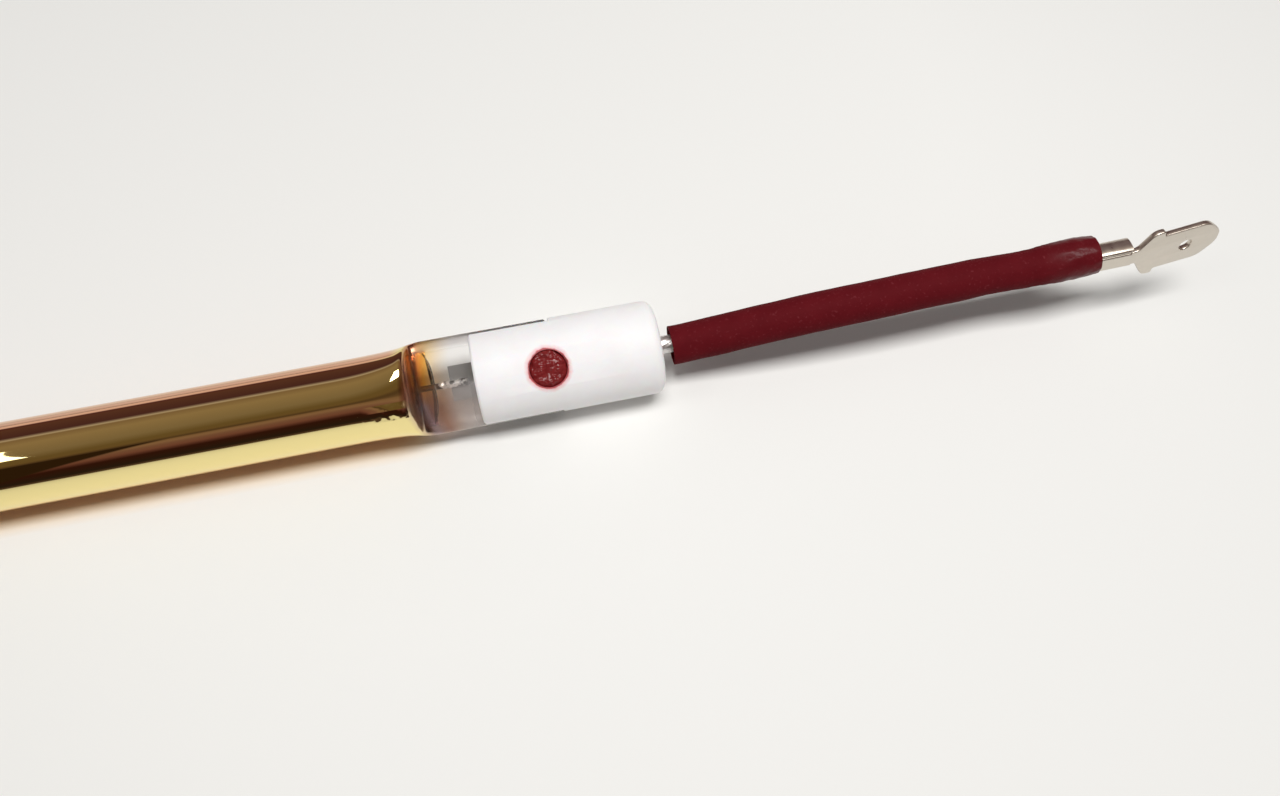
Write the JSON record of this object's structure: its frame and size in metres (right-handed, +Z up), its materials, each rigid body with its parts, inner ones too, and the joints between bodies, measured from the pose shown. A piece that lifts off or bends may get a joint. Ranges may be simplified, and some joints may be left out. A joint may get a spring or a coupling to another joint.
{
  "type": "quartz halogen heating lamp",
  "caption": "Double-ended quartz infrared heating lamp: gold-mirrored tube with flat clear pinch seals, white ceramic end caps and sleeved flying leads with push-on tabs.",
  "frame": {"origin": "middle of the lamp between its two caps, on the surface that the caps lie on", "axes": "+X along the lamp towards the end that the picture shows, +Z up, -Y towards the side that the cap windows lean to"},
  "size_m": [0.5055, 0.0124, 0.0166],
  "materials": {
    "quartz": "gold mirror coat on polished quartz, clear at both seals",
    "tungsten": "drawn tungsten wire",
    "molybdenum": "drawn molybdenum",
    "foil": "etched foil, satin",
    "ceramic": "unglazed, matte white",
    "sealant": "lumpy set sealant, glossy dark red",
    "wire": "nickel-plated strands",
    "sleeve": "coated heat-proof sleeving, dark maroon, slight gloss",
    "tab": "satin tin plate"
  },
  "bodies": {
    "root": {"quartz_envelope": "quartz", "tungsten_filament": "tungsten", "filament_support_01": "tungsten", "filament_support_02": "tungsten", "filament_support_03": "tungsten", "filament_support_04": "tungsten", "filament_support_05": "tungsten", "filament_support_06": "tungsten", "filament_support_07": "tungsten", "filament_support_08": "tungsten", "inner_lead_right": "tungsten", "seal_foil_right": "foil", "outer_pin_right": "molybdenum", "ceramic_cap_right": "ceramic", "sealant_plug_right": "sealant", "splice_ferrule_right": "wire", "lead_conductor_right": "wire", "lead_sleeve_right": "sleeve", "tab_terminal_right": "tab", "inner_lead_left": "tungsten", "seal_foil_left": "foil", "outer_pin_left": "molybdenum", "ceramic_cap_left": "ceramic", "sealant_plug_left": "sealant", "splice_ferrule_left": "wire", "lead_conductor_left": "wire", "lead_sleeve_left": "sleeve", "tab_terminal_left": "tab"}
  },
  "joints": []
}
